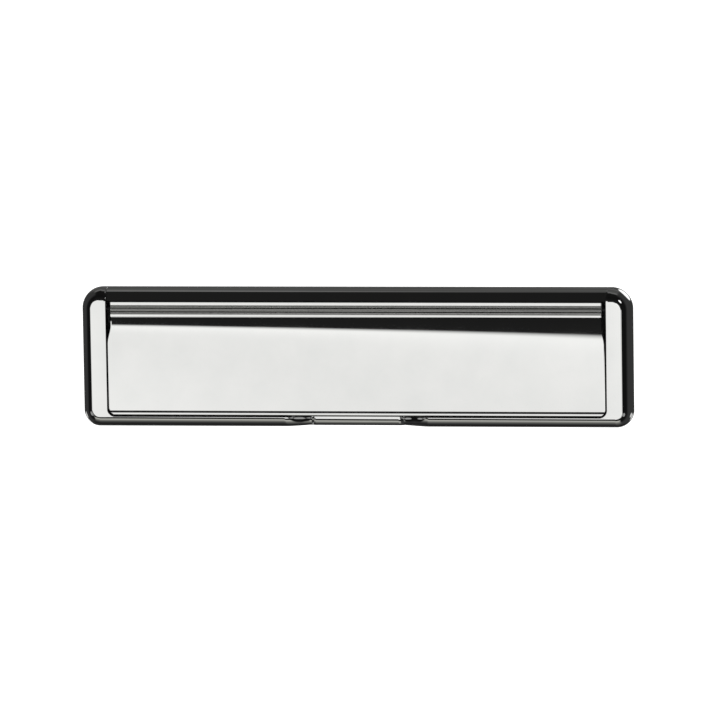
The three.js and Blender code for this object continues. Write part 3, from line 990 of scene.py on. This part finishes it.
def lamp(direction, inner, outer):
    """A round lamp seen in that direction, soft between two angles in degrees."""
    dot = wn.new("ShaderNodeVectorMath")
    dot.operation = "DOT_PRODUCT"
    wl.new(texco.outputs["Generated"], dot.inputs[0])
    dot.inputs[1].default_value = Vector(direction).normalized()
    return step(dot.outputs["Value"], math.cos(math.radians(outer)), math.cos(math.radians(inner)))


# nearly black at the sides, a little lighter towards the back
dark = wn.new("ShaderNodeCombineColor")
dark_level = op("ADD", op("MULTIPLY", step(dy, -0.2, 0.3), 0.03), 0.006)
for channel in dark.inputs[:3]:
    wl.new(dark_level, channel)
room = blend_colours(banded, dark.outputs[0], vertical.outputs["Color"])

# soft cards just below the horizon, behind the plate and in front to both sides, for other viewpoints
cards = op("MULTIPLY", lamp((0.0, 0.94, -0.33), 9, 10.8), 0.72)
for x, y, z, soft, brightness in ((0.4, 0.85, -0.33, 9, 0.72), (0.67, 0.67, -0.33, 9, 0.72),
                                  (0.53, -0.77, -0.35, 10, 0.32), (0.76, -0.52, -0.4, 12, 0.36)):
    for card_x in (-x, x):
        card = lamp((card_x, y, z), soft - 4, soft)
        cards = op("MAXIMUM", cards, op("MULTIPLY", card, brightness))
room = blend_colours(cards, room, (0.96, 0.96, 0.95))
# the two lamps whose highlights show at the upper right corner
lamps = op("MAXIMUM", lamp((0.38, 0.84, 0.38), 13, 17), lamp((0.61, -0.53, 0.60), 8, 11))
room = blend_colours(lamps, room, (1.25, 1.25, 1.25))

# the background itself and its soft light are plain white
paths = wn.new("ShaderNodeLightPath")
plain = op("MAXIMUM", paths.outputs["Is Camera Ray"], paths.outputs["Is Diffuse Ray"])
room = blend_colours(plain, room, (1.03, 1.03, 1.03))
wl.new(room, background.inputs["Color"])
background.inputs["Strength"].default_value = 1.0

key = bpy.data.lights.new("key_softbox", "AREA")
key.shape = "RECTANGLE"
key.size, key.size_y = 1.4, 1.0
key.energy = 14
key_obj = bpy.data.objects.new("key_softbox", key)
key_obj.location = (-0.9, -1.5, 1.3)
key_obj.rotation_euler = (-key_obj.location).to_track_quat("-Z", "Y").to_euler()
key_obj.visible_glossy = False
bpy.context.scene.collection.objects.link(key_obj)

AZ, EL, ROLL = math.radians(7.0), math.radians(8.4), math.radians(0.865)
DIST = 4.5                  # metres from the plate
LENS_SHARE = 0.08945        # focal length as a share of that distance
cam = bpy.data.cameras.new("camera")
cam.sensor_width = 36.0
cam.lens = LENS_SHARE * DIST * 1000
cam.clip_start, cam.clip_end = 0.1, 30.0
cam_obj = bpy.data.objects.new("camera", cam)
toward = Vector((math.sin(AZ) * math.cos(EL), -math.cos(AZ) * math.cos(EL), math.sin(EL)))
target = Vector((0.0019, -0.007, -0.0012))  # close to the middle of the outer plate
cam_obj.location = target + toward * DIST
cam_obj.rotation_euler = ((-toward).to_track_quat("-Z", "Y") @ Quaternion((0, 0, 1), -ROLL)).to_euler()
bpy.context.scene.collection.objects.link(cam_obj)
bpy.context.scene.camera = cam_obj
bpy.context.scene.view_settings.view_transform = "Standard"
